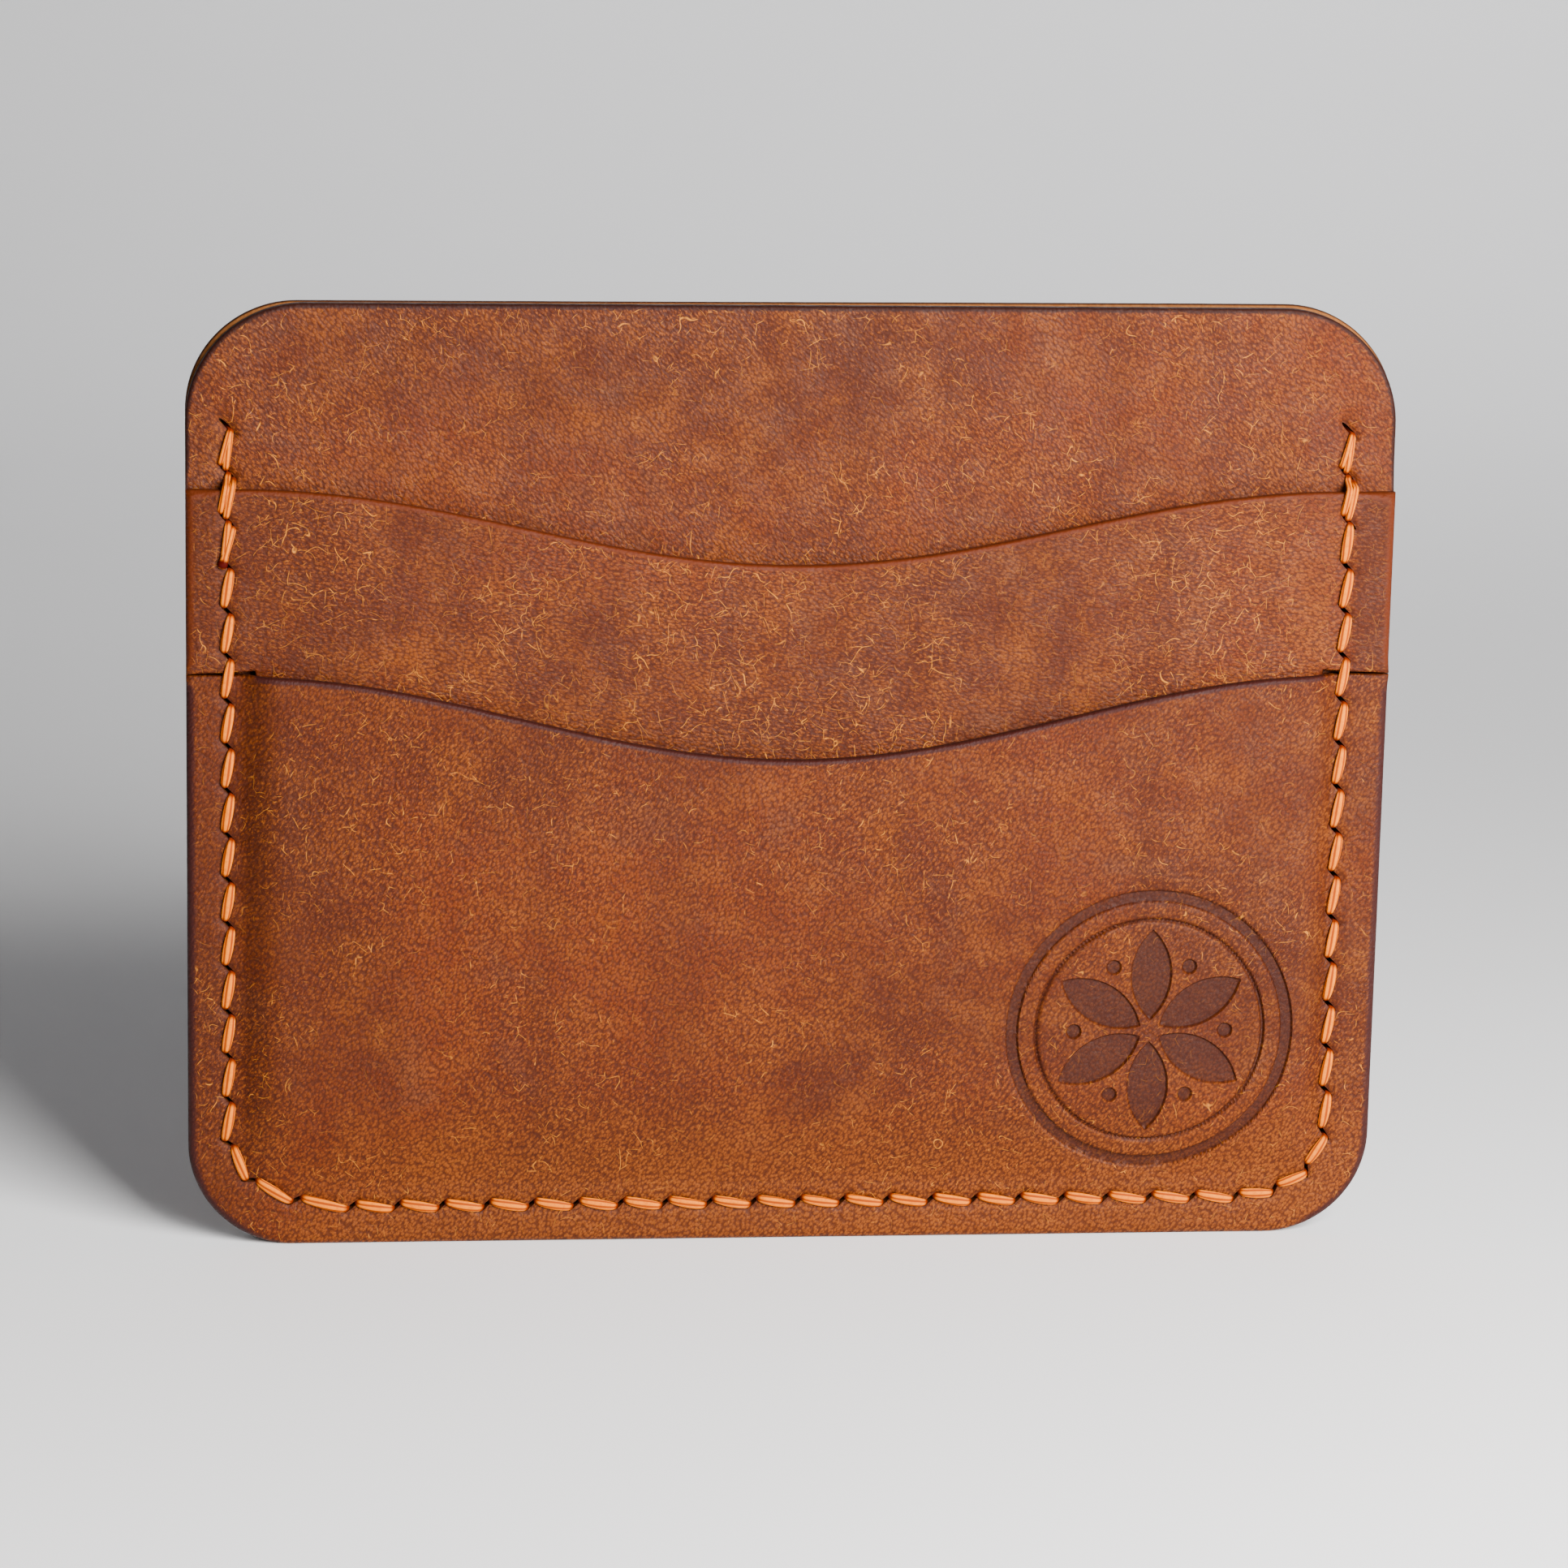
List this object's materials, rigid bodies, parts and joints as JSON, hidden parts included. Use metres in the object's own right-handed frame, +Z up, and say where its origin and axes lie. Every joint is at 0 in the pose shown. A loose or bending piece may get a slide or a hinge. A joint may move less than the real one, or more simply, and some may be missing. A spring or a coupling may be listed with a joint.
{
  "type": "card holder",
  "caption": "Upright stitched leather card holder with a back pocket and stepped front card pockets with dipped mouths, round corners and burnished edges.",
  "frame": {"origin": "middle of the bottom of the bounding box, where the holder stands on its bottom edge", "axes": "+Z up towards the mouths of the pockets, -Y out of the front with the stepped pockets, +X to the right as seen from the front"},
  "size_m": [0.1024, 0.0077, 0.081],
  "materials": {
    "leather": "matt oiled vegetable-tanned leather, cognac brown, with cloudy pull-up, fine pale scuffs and dark burnished edges",
    "thread": "waxed flat-braided polyester thread, orange, soft sheen"
  },
  "bodies": {
    "root": {"back_panel": "leather", "front_panel": "leather", "upper_pocket": "leather", "lower_pocket": "leather", "seam_thread": "thread", "pocket_foot_thread": "thread"}
  },
  "joints": []
}
